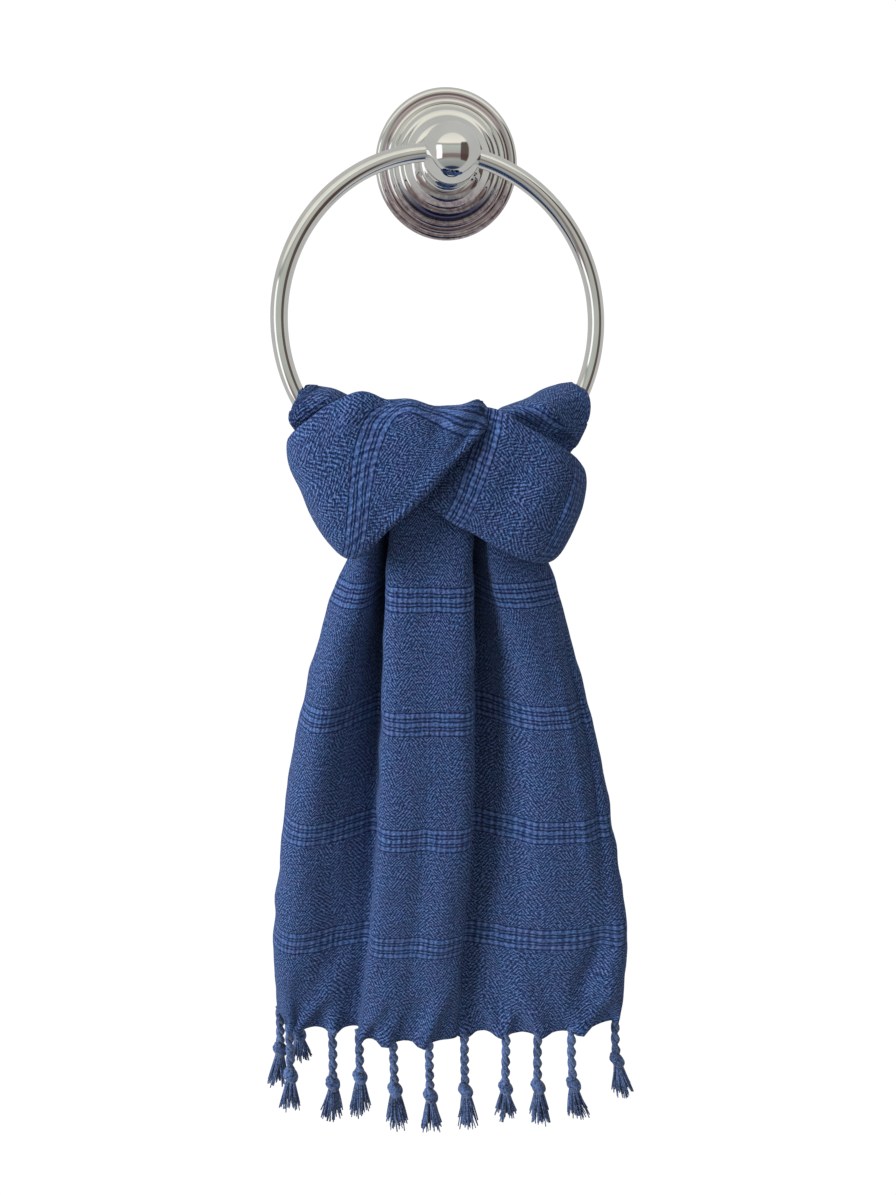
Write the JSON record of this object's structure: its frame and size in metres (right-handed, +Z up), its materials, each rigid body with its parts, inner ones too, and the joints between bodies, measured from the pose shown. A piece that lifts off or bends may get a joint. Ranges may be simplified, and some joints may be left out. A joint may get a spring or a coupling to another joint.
{
  "type": "hand towel on a towel ring",
  "caption": "Fringed flat-woven cotton hand towel knotted through a chrome towel ring that hangs in a ball post on a stepped round wall rosette.",
  "frame": {"origin": "centre of the rosette's flat back face, on the wall", "axes": "+Y into the wall, +Z up, +X to the right as seen from the room"},
  "size_m": [0.2088, 0.0983, 0.5545],
  "materials": {
    "cloth": "matt two-tone blue weave",
    "chrome": "polished"
  },
  "bodies": {
    "root": {"towel": "cloth", "fringe": "cloth", "ring": "chrome", "ball_post": "chrome", "rosette": "chrome"}
  },
  "joints": []
}
